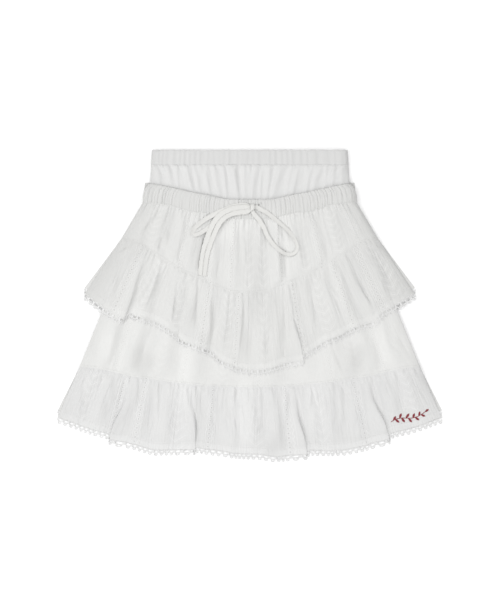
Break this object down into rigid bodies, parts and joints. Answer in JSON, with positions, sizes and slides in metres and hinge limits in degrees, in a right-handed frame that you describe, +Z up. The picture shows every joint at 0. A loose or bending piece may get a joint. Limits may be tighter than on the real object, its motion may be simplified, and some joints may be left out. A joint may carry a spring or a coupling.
{
  "type": "tiered ruffle skirt",
  "caption": "Skirt of two ruffled tiers laid flat, with a plain gathered under-layer above its waistband, lace-edged hems and a drawstring bow.",
  "frame": {"origin": "centre of the skirt's bounding box, on the surface that it lies on", "axes": "+X across the skirt, away from the side the bow tails fall on, +Y up the skirt towards the waist, +Z up from the surface, out of the front"},
  "size_m": [0.5574, 0.4504, 0.0225],
  "materials": {
    "patterned_cotton": "off-white cotton with a self-coloured woven stripe of dots and chevrons, matte",
    "plain_cotton": "plain smooth white cotton, matte",
    "lace": "white cotton lace with a row of holes and picots, matte",
    "drawstring": "off-white self-fabric tube, matte",
    "red_thread": "dark red embroidery thread, slight sheen"
  },
  "bodies": {
    "root": {"inner_casing_front": "plain_cotton", "inner_casing_back": "plain_cotton", "inner_yoke_front": "plain_cotton", "inner_yoke_back": "plain_cotton", "waistband_front": "patterned_cotton", "waistband_back": "patterned_cotton", "upper_panel_front": "patterned_cotton", "upper_panel_back": "patterned_cotton", "upper_ruffle_front": "patterned_cotton", "upper_ruffle_back": "patterned_cotton", "upper_lace_front": "lace", "upper_lace_back": "lace", "lower_panel_front": "patterned_cotton", "lower_panel_back": "patterned_cotton", "lower_ruffle_front": "patterned_cotton", "lower_ruffle_back": "patterned_cotton", "hem_lace_front": "lace", "hem_lace_back": "lace", "drawstring_knot": "drawstring", "drawstring_right_loop": "drawstring", "drawstring_left_loop": "drawstring", "drawstring_first_tail": "drawstring", "drawstring_second_tail": "drawstring"}
  },
  "joints": []
}
